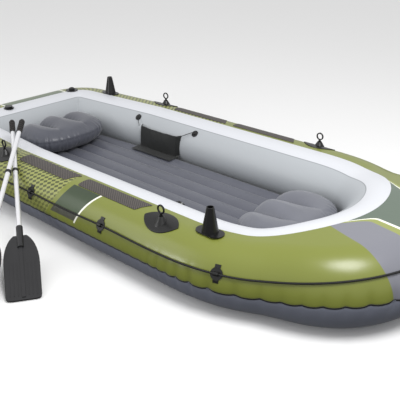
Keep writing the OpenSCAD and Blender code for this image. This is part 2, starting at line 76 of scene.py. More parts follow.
@dataclass(frozen=True)
class HullForm:
    """The lines of the hull in millimetres, the same as the frame was designed with.

    A station is a point of the colour line between the two air chambers. From it the distance
    w runs outboard, and q runs over the skin: along the flat top first, then down the outside.
    """

    height: float = 328
    bow_rise: float = 54
    half_beam: float = 556
    stern_half_beam: float = 490
    stern_x: float = -1460
    taper_x: float = -655
    bow_x: float = 652
    bow_length: float = 622
    corner_r: float = 146
    rise_from: float = 933
    rise_over: float = 341
    lean_from: float = 1004
    lean_over: float = 270

    def rise(self, x: float) -> float:
        """Returns how far the bow's lift has come at x, from 0 to 1."""
        return smooth_step((x - self.rise_from) / self.rise_over)

    def lean(self, x: float) -> float:
        """Returns how far the bow's widening has come at x, from 0 to 1."""
        return smooth_step((x - self.lean_from) / self.lean_over)

    def tube(self, x: float) -> float:
        """Returns the radius of the tubes at x."""
        return (self.height + self.bow_rise * self.rise(x)) / 2

    def outer(self, x: float) -> float:
        """Returns w of the outer arc's centre at x."""
        return 42 + 143 * self.lean(x)

    def inner(self, x: float) -> float:
        """Returns w of the inner arc's centre at x."""
        return self.outer(x) - 77 - 129 * self.lean(x)

    def rope_angle(self, x: float) -> float:
        """Returns the grab line's angle up the outer arc at x, in degrees."""
        return 23.5 + 15.8 * self.lean(x)

    def seam_angle(self, x: float) -> float:
        """Returns the side seam's angle up the outer arc at x, in degrees."""
        return -5.2 + 8 * self.lean(x)

    def half_line(self, step: float) -> list[Station]:
        """Walks the port half of the colour line from the transom's middle to the nose.

        Args:
            step: the spacing of the stations in millimetres.

        Returns:
            Stations of x, y, outboard x, outboard y and the corner angle, or 0.
        """
        slope = (self.half_beam - self.stern_half_beam) / (self.taper_x - self.stern_x)
        turn = math.pi / 2 - math.atan(slope)
        leg = self.corner_r * math.tan(turn / 2)
        cx, cy = self.stern_x + self.corner_r, self.stern_half_beam - leg
        stations = []
        count = max(2, round(cy / step))
        for i in range(count):
            stations.append((self.stern_x, cy * i / count, -1.0, 0.0, 0.0))
        count = max(10, round(self.corner_r * turn / step * 2))
        for i in range(count + 1):
            a = math.pi - turn * i / count
            stations.append((cx + self.corner_r * math.cos(a), cy + self.corner_r * math.sin(a),
                             math.cos(a), math.sin(a), a))
        x0, y0 = stations[-1][0], stations[-1][1]
        normal = (-math.sin(math.atan(slope)), math.cos(math.atan(slope)))
        count = round((self.taper_x - x0) / step)
        for i in range(1, count + 1):
            k = i / count
            ease = smooth_step((k - 0.94) / 0.06)
            nx = normal[0] * (1 - 0.5 * ease)
            stations.append((x0 + (self.taper_x - x0) * k, y0 + (self.half_beam - y0) * k,
                             nx, math.sqrt(1 - nx * nx), 0.0))
        count = round((self.bow_x - self.taper_x) / step)
        for i in range(1, count + 1):
            nx = 0.5 * normal[0] * (1 - smooth_step(i / count * 12))
            stations.append((self.taper_x + (self.bow_x - self.taper_x) * i / count,
                             self.half_beam, nx, math.sqrt(1 - nx * nx), 0.0))
        count = round(900 / step)
        for i in range(1, count + 1):
            s = math.pi / 2 * i / count
            tx = self.bow_length * 5 / 6 * math.sin(s) ** (-1 / 6) * math.cos(s)
            ty = self.half_beam * math.sin(s)
            size = math.hypot(tx, ty)
            stations.append((self.bow_x + self.bow_length * math.sin(s) ** (5 / 6),
                             self.half_beam * math.cos(s), ty / size, tx / size, 0.0))
        return stations

    def ring(self, step: float) -> "Ring":
        """Returns the closed run of stations round the boat with that spacing in millimetres."""
        return Ring(self, self.half_line(step))


class Ring:
    """A closed run of stations: from the transom's middle to port, the nose and starboard."""

    def __init__(self, form: HullForm, half: list[Station]) -> None:
        """Stores the port half and measures it.

        Args:
            form: the hull's lines.
            half: its port half stations.
        """
        self.form = form
        self.half = half
        self.count = 2 * len(half) - 2
        lengths = [0.0]
        for a, b in zip(half[:-1], half[1:]):
            lengths.append(lengths[-1] + math.hypot(b[0] - a[0], b[1] - a[1]))
        self.lengths = lengths
        slope = (form.half_beam - form.stern_half_beam) / (form.taper_x - form.stern_x)
        self.turn = math.pi / 2 - math.atan(slope)
        self.cx = form.stern_x + form.corner_r
        self.cy = form.stern_half_beam - form.corner_r * math.tan(self.turn / 2)

    def index(self, k: int) -> tuple[int, int]:
        """Finds a station on the half that the ring was made from.

        Args:
            k: the station.

        Returns:
            The half's station and the side, 1 for port and -1 for starboard.
        """
        k %= self.count
        if k < len(self.half):
            return k, 1
        return self.count - k, -1

    def x(self, k: int) -> float:
        """Returns the colour line's x at station k."""
        return self.half[self.index(k)[0]][0]

    def along(self, k: int) -> float:
        """Measures the colour line from the transom's middle, over port to the nose and back.

        Args:
            k: the station.

        Returns:
            The length in millimetres.
        """
        if k < len(self.half):
            return self.lengths[k]
        return 2 * self.lengths[-1] - self.lengths[self.count - k]

    def at(self, k: int, w: float, z: float) -> Vec:
        """Places a point in metres.

        Args:
            k: the station.
            w: the distance outboard of the colour line in millimetres.
            z: the height in millimetres.

        Returns:
            The point in metres.
        """
        i, side = self.index(k)
        x, y, nx, ny, corner = self.half[i]
        if corner > 0:
            r = max(self.form.corner_r + w, 12)
            move = (self.form.corner_r + w - r) / math.cos(self.turn / 2)
            bisector = math.pi - self.turn / 2
            px = self.cx + move * math.cos(bisector) + r * math.cos(corner)
            py = self.cy + move * math.sin(bisector) + r * math.sin(corner)
        else:
            px, py = x + w * nx, y + w * ny
        return (px * MM, side * py * MM, z * MM)


HULL = HullForm()


def deselect() -> None:
    """Clears the selection before an operator acts."""
    bpy.ops.object.select_all(action="DESELECT")


def take(obj: Piece) -> None:
    """Makes a piece the only selected and active object.

    Args:
        obj: the piece.
    """
    deselect()
    obj.select_set(True)
    bpy.context.view_layer.objects.active = obj


def apply_modifiers(obj: Piece) -> None:
    """Applies every modifier in order.

    Args:
        obj: the piece.
    """
    take(obj)
    for modifier in list(obj.modifiers):
        bpy.ops.object.modifier_apply(modifier=modifier.name)


def tidy_shell(obj: Piece, merge: float = 0.00004) -> None:
    """Merges doubles and turns the faces outwards.

    Args:
        obj: the mesh.
        merge: how close two points are to count as one, in metres.
    """
    take(obj)
    bpy.ops.object.mode_set(mode="EDIT")
    bpy.ops.mesh.select_all(action="SELECT")
    bpy.ops.mesh.remove_doubles(threshold=merge)
    bpy.ops.mesh.normals_make_consistent(inside=False)
    bpy.ops.object.mode_set(mode="OBJECT")


def shade(obj: Piece, degrees: float = 40) -> None:
    """Smooths the shading except at edges sharper than the given angle."""
    take(obj)
    bpy.ops.object.shade_smooth_by_angle(angle=math.radians(degrees))


def finish_piece(obj: Piece, body: str, slot: str, material: bpy.types.Material,
                 replaces: Sequence[str] = ()) -> Piece:
    """Dresses a new piece and ties it to the frame.

    Args:
        obj: the piece.
        body: the CAD body it rides on.
        slot: the material slot of the record that it stands for; not used.
        material: its finish.
        replaces: the CAD nodes that it stands in for.

    Returns:
        The piece.
    """
    obj.data.materials.clear()
    obj.data.materials.append(material)
    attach(obj, body)
    if replaces:
        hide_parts(*replaces)
    LOG.info("%s rides on %s", obj.name, body)
    return obj


def shaped_grid(name: str, columns: int, rows: int,
                place: Callable[[int, int], Vec],
                chart: Callable[[int, int], tuple[float, float]] | None = None) -> Piece:
    """Adds a grid and moves each of its points to its place.

    Args:
        name: the new object's name.
        columns: cells along the first direction.
        rows: cells along the second direction.
        place: gives the position in metres of point (column, row).
        chart: gives the pattern coordinates in metres of point (column, row).

    Returns:
        The new mesh object, with a UV map named "skin" where chart is given.
    """
    deselect()
    bpy.ops.mesh.primitive_grid_add(x_subdivisions=columns, y_subdivisions=rows, size=1)
    obj = bpy.context.object
    obj.name = name
    mesh = obj.data
    count = len(mesh.vertices)
    flat = np.empty(count * 3)
    mesh.vertices.foreach_get("co", flat)
    flat = flat.reshape(-1, 3)
    cols = np.rint((flat[:, 0] + 0.5) * columns).astype(int)
    lines = np.rint((flat[:, 1] + 0.5) * rows).astype(int)
    points = np.array([place(int(c), int(r)) for c, r in zip(cols, lines)])
    mesh.vertices.foreach_set("co", points.ravel())
    if chart:
        layer = mesh.uv_layers[0]
        layer.name = "skin"
        corner = np.empty(len(mesh.loops), int)
        mesh.loops.foreach_get("vertex_index", corner)
        uv = np.array([chart(int(c), int(r)) for c, r in zip(cols, lines)])
        layer.data.foreach_set("uv", uv[corner].ravel())
    mesh.update()
    return obj


def ring_shell(name: str, ring: Ring, profile: Callable[[int], Section]
               ) -> Piece:
    """Sweeps a closed profile round the boat.

    Args:
        name: the new object's name.
        ring: the stations.
        profile: gives the closed profile at a station as w, z and q in millimetres.

    Returns:
        The closed shell.
    """
    profiles = [profile(k) for k in range(ring.count)]
    rows = len(profiles[0])

    def place(c: int, r: int) -> Vec:
        """Places a point of the sweep, as shaped_grid asks for it."""
        w, z, _ = profiles[c % ring.count][r % rows]
        return ring.at(c % ring.count, w, z)

    def chart(c: int, r: int) -> tuple[float, float]:
        """Gives the pattern coordinates of a point of the sweep, as shaped_grid asks."""
        q = profiles[c % ring.count][r % rows][2]
        return (ring.along(c) * MM, q * MM)

    obj = shaped_grid(name, ring.count, rows, place, chart)
    tidy_shell(obj, 0.00002)
    return obj


class Graph:
    """The node tree of one material, or of the studio's air."""

    def __init__(self, owner: bpy.types.ID) -> None:
        """Empties a node tree.

        Args:
            owner: the material or world that it belongs to.
        """
        owner.use_nodes = True
        self.owner, self.tree = owner, owner.node_tree
        self.tree.nodes.clear()

    def add(self, kind: str, *links: object, out: int | str = 0,
            **settings: object) -> Socket | None:
        """Adds a node with its settings and links.

        Args:
            kind: the node's type, such as "TexNoise", or an arithmetic operation in capitals.
            links: sockets, numbers or hex colours for the inputs in use, in their order.
            out: the output that is wanted, by name or by its number among those in use.
            settings: the node's attributes, and its inputs by name with _ for a space.

        Returns:
            The output socket, or None where the node has none.
        """
        node = self.tree.nodes.new("ShaderNode" + ("Math" if kind.isupper() else kind))
        if kind.isupper():
            node.operation = kind
        named = {key: value for key, value in settings.items() if key[0].isupper()}
        for key in settings.keys() - named.keys():
            setattr(node, key, settings[key])
        inputs = list(zip([s for s in node.inputs if s.enabled], links))
        inputs += [(node.inputs[key.replace("_", " ")], value) for key, value in named.items()]
        for socket, value in inputs:
            if isinstance(value, Socket):
                self.tree.links.new(value, socket)
            else:
                socket.default_value = linear(value) if isinstance(value, str) else value
        live = [s for s in node.outputs if s.enabled]
        return node.outputs[out] if isinstance(out, str) else live[out] if live else None

    @property
    def spot(self) -> Socket:
        """Returns the position in metres in the piece's own frame."""
        return self.add("TexCoord", out="Object")

    def chart(self) -> tuple[Socket, Socket]:
        """Returns the two pattern coordinates of the piece's own map, in metres."""
        first = self.add("SeparateXYZ", self.add("UVMap", uv_map="skin"))
        return first, first.node.outputs[1]

    def edge(self, value: Socket, at: float | Socket, width: float = 0.002) -> Socket:
        """Returns a mask that rises from 0 to 1 at a place.

        Args:
            value: what is compared.
            at: the place.
            width: how wide the soft step is; a negative width makes the mask fall instead.

        Returns:
            The mask.
        """
        ramp = self.add("MULTIPLY", self.add("SUBTRACT", value, at), 1 / width)
        return self.add("ADD", ramp, 0.5, use_clamp=True)

    def finish(self, **surface: object) -> bpy.types.Material:
        """Closes the tree with a Principled surface of those sockets."""
        self.add("OutputMaterial", self.add("BsdfPrincipled", **surface))
        return self.owner


@dataclass(frozen=True)
class PlainFinish:
    """A moulded, coated or drawn finish of one colour with fine variation.

    grain_mm and grain_depth give the size and depth of its fine relief, and patch_mm the size
    of the slow change between its two tones.
    """

    name: str
    colour: str
    shade: str
    roughness: float
    grain_mm: float
    grain_depth: float
    metallic: float = 0.0
    sheen: float = 0.0
    patch_mm: float = 60.0

    def build(self) -> bpy.types.Material:
        """Mixes the finish.

        Returns:
            The material.
        """
        g = Graph(bpy.data.materials.new(self.name))
        patch = g.add("TexNoise", g.spot, Scale=1000 / self.patch_mm, Detail=3.0)
        grain = g.add("TexNoise", g.spot, Scale=1000 / self.grain_mm, Detail=4.0)
        return g.finish(
            Base_Color=g.add("Mix", patch, self.colour, self.shade, **RGBA),
            Metallic=self.metallic, Sheen_Weight=self.sheen,
            Roughness=g.add("ADD", g.add("MULTIPLY", grain, 0.14), self.roughness - 0.07),
            Normal=g.add("Bump", Height=grain, Distance=self.grain_depth * MM, Strength=1.0))


@dataclass(frozen=True)
class PrintedVinyl:
    """Calendered PVC sheet with a printed face: satin gloss, so broad soft highlights.

    Places are metres along the skin: run from the transom's middle, q down from the colour line.
    """

    name: str = "printed_olive_pvc"
    olive: str = "7C8339"
    olive_shade: str = "737A33"
    light_olive: str = "A3A764"
    dark_scale: str = "474C27"
    panel: str = "303D2A"
    panel_mid: str = "45543A"
    panel_low: str = "4C4D42"
    line: str = "F4F4E8"
    stripe: str = "7A7B83"
    nose_rim: str = "8E9550"
    nose: str = "59675A"
    stern_top: str = "55634F"
    stern_low: str = "7F8A66"
    roughness: float = 0.3
    half_run: float = 3.495
    scale_pitch: float = 0.031
    scale_row: float = 0.023

    def build(self) -> bpy.types.Material:
        """Mixes the finish, its print laid out on the skin's own map.

        Returns:
            The material.
        """
        g = Graph(bpy.data.materials.new(self.name))
        u, q = g.chart()
        from_nose = g.add("ABSOLUTE", g.add("SUBTRACT", u, self.half_run))
        run = g.add("SUBTRACT", self.half_run, from_nose)
        tone = g.add("TexNoise", g.spot, Scale=1000 / 420, Detail=2.0)
        base = g.add("Mix", tone, self.olive, self.olive_shade, **RGBA)
        base = self._scales(g, run, q, base)
        base = self._panels(g, run, q, base)
        base = self._bow(g, u, q, base)
        base = self._stern(g, u, q, base)
        grain = g.add("TexNoise", g.spot, Scale=1000 / 3, Detail=4.0)
        crease = g.add("TexNoise", g.spot, Scale=1000 / 45, Detail=3.0)
        soft = g.add("Bump", Height=crease, Distance=0.5 * MM, Strength=1.0)
        return g.finish(
            Base_Color=base, Specular_IOR_Level=0.5, Coat_Weight=0.12, Coat_Roughness=0.25,
            Roughness=g.add("ADD", g.add("MULTIPLY", grain, 0.10), self.roughness - 0.05),
            Normal=g.add("Bump", Height=grain, Distance=0.05 * MM, Strength=1.0, Normal=soft))

    def _scales(self, g: Graph, run: Socket, q: Socket, base: Socket) -> Socket:
        """Prints the rows of slanted scales from the stern to the arc amidships.

        Args:
            g: the material's graph.
            run: the length from the transom's middle on either side.
            q: the length down from the colour line.
            base: the colour so far.

        Returns:
            The colour with the scales on it.
        """
        low = g.add("SUBTRACT", q, 0.060)
        bend = g.add("MULTIPLY", g.add("MULTIPLY", low, low), 1.4)
        aft = g.edge(g.add("ADD", run, bend), 1.803, -0.003)
        lane = g.add("DIVIDE", q, self.scale_row)
        up = g.add("FRACT", lane)
        shift = g.add("MULTIPLY", g.add("FLOOR", lane), 0.5)
        place = g.add("ADD", g.add("DIVIDE", run, self.scale_pitch), shift)
        cell = g.add("FRACT", g.add("ADD", place, g.add("MULTIPLY", up, 0.45)))
        centre = g.add("ABSOLUTE", g.add("SUBTRACT", cell, 0.5))
        taper = g.add("ABSOLUTE", g.add("SUBTRACT", g.add("MULTIPLY", up, 2.0), 1.0))
        width = g.add("MULTIPLY", g.add("SUBTRACT", 1.0, taper), 0.44)
        fade = g.add("SUBTRACT", 1.0, g.add("MULTIPLY", g.edge(q, 0.24, 0.14), 0.55))
        light = g.add("MULTIPLY", aft, g.add("MULTIPLY", fade, 0.62))
        dark = g.add("MULTIPLY", g.add("MULTIPLY", g.edge(centre, width, -0.09), aft), fade)
        base = g.add("Mix", light, base, self.light_olive, **RGBA)
        return g.add("Mix", dark, base, self.dark_scale, **RGBA)

    def _panels(self, g: Graph, run: Socket, q: Socket, base: Socket) -> Socket:
        """Prints the two-tone panel and its white arc on each side.

        Args:
            g: the material's graph.
            run: the length from the transom's middle on either side.
            q: the length down from the colour line.
            base: the colour so far.

        Returns:
            The colour with the panels on it.
        """
        below = g.add("SUBTRACT", q, 0.102)
        bow_out = g.add("ADD", g.add("MULTIPLY", below, 0.15),
                        g.add("MULTIPLY", g.add("MULTIPLY", below, below), 1.8))
        arc = g.add("ADD", run, g.add("MULTIPLY", below, 0.52))
        inside = g.add("MULTIPLY", g.edge(g.add("ADD", run, bow_out), 1.841),
                       g.edge(arc, 2.047, -0.002))
        tall = g.add("MULTIPLY", g.edge(q, 0.099), g.edge(q, 0.276, -0.002))
        deep = g.add("MULTIPLY", g.add("SUBTRACT", q, 0.1), 6.0, use_clamp=True)
        colour = g.add("Mix", deep, self.panel, self.panel_mid, **RGBA)
        colour = g.add("Mix", g.edge(q, 0.232), colour, self.panel_low, **RGBA)
        base = g.add("Mix", g.add("MULTIPLY", inside, tall), base, colour, **RGBA)
        line = g.add("MULTIPLY", g.edge(arc, 2.044), g.edge(arc, 2.056, -0.002))
        tall = g.add("MULTIPLY", g.edge(q, 0.097), g.edge(q, 0.286, -0.002))
        return g.add("Mix", g.add("MULTIPLY", line, tall), base, self.line, **RGBA)

    def _bow(self, g: Graph, u: Socket, q: Socket, base: Socket) -> Socket:
        """Prints the panel over the nose, its white edge and the broad stripes beside it.

        Args:
            g: the material's graph.
            u: the length round the boat from the transom's middle.
            q: the length down from the colour line.
            base: the colour so far.

        Returns:
            The colour with the bow's print on it.
        """
        offset = g.add("SUBTRACT", u, self.half_run - 0.0835)
        away = g.add("ABSOLUTE", offset)
        low = g.add("MULTIPLY", g.add("SUBTRACT", q, 0.137), 0.13)
        stripe = g.add("MULTIPLY", g.edge(offset, 0.0),
                       g.edge(g.add("ADD", away, low), 0.3515, -0.002))
        base = g.add("Mix", stripe, base, self.stripe, **RGBA)
        top = g.add("SUBTRACT", 1.0, g.add("MULTIPLY", q, 1 / 0.07), use_clamp=True)
        flare = g.add("MULTIPLY", g.add("MULTIPLY", top, top), 0.12)
        near = g.add("SUBTRACT", away, flare)
        for reach, colour in ((0.205, self.nose_rim), (0.1745, self.line), (0.1615, self.nose)):
            base = g.add("Mix", g.edge(near, reach, -0.002), base, colour, **RGBA)
        return base

    def _stern(self, g: Graph, u: Socket, q: Socket, base: Socket) -> Socket:
        """Prints the dark panel between two white lines on the stern.

        Args:
            g: the material's graph.
            u: the length round the boat from the transom's middle.
            q: the length down from the colour line.
            base: the colour so far.

        Returns:
            The colour with the stern's print on it.
        """
        wrap = g.add("MULTIPLY", g.edge(u, self.half_run), 2 * self.half_run)
        centre = g.add("ABSOLUTE", g.add("SUBTRACT", g.add("SUBTRACT", u, wrap), 0.10))
        line = g.add("MULTIPLY", g.edge(centre, 0.256, -0.002), g.edge(centre, 0.245))
        down = g.add("MULTIPLY", q, 5.0, use_clamp=True)
        panel = g.add("Mix", down, self.stern_top, self.stern_low, **RGBA)
        base = g.add("Mix", g.edge(centre, 0.245, -0.002), base, panel, **RGBA)
        return g.add("Mix", line, base, self.line, **RGBA)


@dataclass(frozen=True)
class BandedVinyl:
    """Pale PVC of the inner chamber: a near-white band on top and a grey wall below it."""

    name: str = "pale_grey_pvc"
    band: str = "CFD1D6"
    wall: str = "ABAFB3"
    weld: str = "6E7376"
    band_wide: float = 0.120
    half_run: float = 3.495
    corner_run: float = 0.462

    def build(self) -> bpy.types.Material:
        """Mixes the finish; q is below 0 inboard of the colour line.

        Returns:
            The material.
        """
        g = Graph(bpy.data.materials.new(self.name))
        run, q = g.chart()
        seam = g.add("MULTIPLY", q, -1.0)
        weld = g.add("ABSOLUTE", g.add("SUBTRACT", seam, self.band_wide))
        from_nose = g.add("ABSOLUTE", g.add("SUBTRACT", run, self.half_run))
        fold = g.add("ABSOLUTE", g.add(
            "SUBTRACT", from_nose, self.half_run - self.corner_run))
        corner = g.add("MULTIPLY", g.edge(fold, 0.012, -0.008), g.edge(seam, 0.135, 0.004))
        line = g.add("MAXIMUM", g.edge(weld, 0.0022, -0.003), corner)
        wall = g.edge(seam, self.band_wide, 0.003)
        colour = g.add("Mix", wall, self.band, self.wall, **RGBA)
        colour = g.add("Mix", g.add("MULTIPLY", line, 0.8), colour, self.weld, **RGBA)
        grain = g.add("TexNoise", g.spot, Scale=1000 / 2.5, Detail=4.0)
        crease = g.add("TexNoise", g.spot, Scale=1000 / 60, Detail=2.0)
        soft = g.add("Bump", Height=crease, Distance=0.4 * MM, Strength=1.0)
        return g.finish(
            Base_Color=colour, Specular_IOR_Level=0.45,
            Roughness=g.add("ADD", g.add("MULTIPLY", grain, 0.1), 0.36),
            Normal=g.add("Bump", Height=grain, Distance=0.05 * MM, Strength=1.0, Normal=soft))


@dataclass(frozen=True)
class FlockedVinyl:
    """Fine short flock on PVC: soft, almost no gloss, brighter where it is seen edge on."""

    name: str
    colour: str
    shade: str
    roughness: float = 0.5

    def build(self) -> bpy.types.Material:
        """Mixes the finish. Its flock is drawn at 1.6 mm, coarser than real, to show.

        Returns:
            The material.
        """
        g = Graph(bpy.data.materials.new(self.name))
        flock = g.add("TexNoise", g.spot, Scale=1000 / 1.6, Detail=5.0)
        cloud = g.add("TexNoise", g.spot, Scale=1000 / 120, Detail=2.0)
        return g.finish(
            Base_Color=g.add("Mix", cloud, self.colour, self.shade, **RGBA),
            Sheen_Weight=0.25, Sheen_Roughness=0.4,
            Roughness=g.add("ADD", g.add("MULTIPLY", flock, 0.12), self.roughness - 0.06),
            Normal=g.add("Bump", Height=flock, Distance=0.12 * MM, Strength=1.0))


@dataclass(frozen=True)
class BraidedRope:
    """Braided polypropylene: two sets of strands that cross, matt and dark, with painted shade in
    the gaps between them.
    """

    name: str = "braided_black_rope"
    colour: str = "161616"
    # the gap colour is painted shade where the strands part
    gap_shade: str = "070707"
    strand_mm: float = 5.0
    girth: float = 0.0251

    def build(self) -> bpy.types.Material:
        """Mixes the finish; the map runs along the rope and round it.

        Returns:
            The material.
        """
        g = Graph(bpy.data.materials.new(self.name))
        run, turn = g.chart()
        lay = g.add("MULTIPLY", run, 2 * math.pi * 1000 / self.strand_mm)
        spin = g.add("MULTIPLY", turn, 2 * math.pi * 4 / self.girth)
        # braid is 1 on the strands and falls to the painted shade of the gaps between them
        braid = g.add("MAXIMUM", g.add("SINE", g.add("ADD", lay, spin)),
                      g.add("SINE", g.add("SUBTRACT", lay, spin)))
        return g.finish(
            Base_Color=g.add("Mix", braid, self.gap_shade, self.colour, **RGBA), Roughness=0.62,
            Normal=g.add("Bump", Height=braid, Distance=0.4 * MM, Strength=1.0))


@dataclass(frozen=True)
class RidgedStrip:
    """Moulded non-slip rubber: slanting ridges 9 mm apart, with a painted highlight on their
    crests and painted shade in their valleys.
    """

    name: str = "ridged_strip_rubber"
    # crest is the painted highlight colour of the ridge tops, valley the painted shade colour
    # between them
    crest: str = "59534F"
    valley: str = "2F2C2B"

    def build(self) -> bpy.types.Material:
        """Mixes the finish.

        Returns:
            The material.
        """
        g = Graph(bpy.data.materials.new(self.name))
        x = g.add("SeparateXYZ", g.spot)
        lean = g.add("ADD", g.add("MULTIPLY", x, 0.75), x.node.outputs[1])
        ridge = g.add("SINE", g.add("MULTIPLY", lean, 2 * math.pi / 0.011))
        wave = g.add("ADD", g.add("MULTIPLY", ridge, 0.5), 0.5)
        grain = g.add("TexNoise", g.spot, Scale=1000, Detail=4.0)
        soft = g.add("Bump", Height=wave, Distance=1.4 * MM, Strength=1.0)
        return g.finish(
            # the ridge wave mixes painted shade into the valleys and a painted highlight onto the
            # crests
            Base_Color=g.add("Mix", wave, self.valley, self.crest, **RGBA), Roughness=0.55,
            Normal=g.add("Bump", Height=grain, Distance=0.1 * MM, Strength=1.0, Normal=soft))


class Finish(Enum):
    """Every finish on the boat."""

    OLIVE = PrintedVinyl()
    PALE = BandedVinyl()
    # slate PVC base cloth: satin, so its folds show as long soft greys
    SLATE = PlainFinish("slate_pvc", "777B88", "6C707D", 0.34, 3.0, 0.06, patch_mm=300)
    # flocked PVC of the floor and the seats: matt, with a pale bloom along each crest
    FLOOR = FlockedVinyl("slate_floor_pvc", "5C5E68", "545660", 0.42)
    STERN_PAD = FlockedVinyl("grey_flocked_pvc", "565861", "4C4E57", 0.38)
    BOW_PAD = FlockedVinyl("light_flocked_pvc", "6F717A", "65676F", 0.36)
    STRIP = RidgedStrip()
    # injection-moulded EPDM: near black, with a wide dull highlight and fine grain
    RUBBER = PlainFinish("moulded_black_rubber", "141414", "0F0F0F", 0.34, 0.8, 0.10)
    # injection-moulded polypropylene: near black, with a sharper highlight than the rubber
    PLASTIC = PlainFinish("moulded_black_polypropylene", "121213", "0E0E0F", 0.30, 1.0, 0.06)
    # coated polyester weave: flat black that keeps a faint nap
    POUCH = PlainFinish("coated_black_polyester", "0E1110", "090B0B", 0.55, 1.0, 0.30, sheen=0.15)
    # textured polypropylene of the blades: charcoal, with hardly any shine
    BLADE = PlainFinish("charcoal_polypropylene", "232325", "1D1D1F", 0.42, 1.0, 0.10)
    # bright dip anodised tube: pale satin metal
    SHAFT = PlainFinish("satin_anodised_aluminium", "F2F2F4", "E6E6EA", 0.36, 0.6, 0.02, 0.55)
    # ribbed hand grip: brown-black and dull
    GRIP = PlainFinish("ribbed_grip_rubber", "221F1E", "1B1918", 0.55, 0.8, 0.15)
    # brushed stainless button: a small bright point
    STEEL = PlainFinish("brushed_stainless_steel", "B8B8B8", "A8A8A8", 0.28, 0.5, 0.02, 1.0)
    ROPE = BraidedRope()


_MADE: dict[Finish, bpy.types.Material] = {}


def dressed(finish: Finish) -> bpy.types.Material:
    """Gives a finish's material, which is built the first time it is asked for.

    Args:
        finish: the finish.

    Returns:
        Its material.
    """
    if finish not in _MADE:
        _MADE[finish] = finish.value.build()
    return _MADE[finish]


def gather_phase(run: float) -> float:
    """Returns the count of gathers up to that length in metres; they are unevenly spaced."""
    return run / 0.058 + 0.55 * math.sin(run / 0.19) + 0.25 * math.sin(run / 0.071 + 1)


def gathers(run: float) -> float:
    """Gives the height of the folds at the side seam.

    Args:
        run: the length from the transom's middle in metres.

    Returns:
        The height, from about -1 to 1.
    """
    part = gather_phase(run) % 1.0
    crease = math.exp(-((part - 0.5) / 0.16) ** 2)
    return 0.35 - 1.2 * crease * (0.65 + 0.35 * math.sin(run / 0.133))


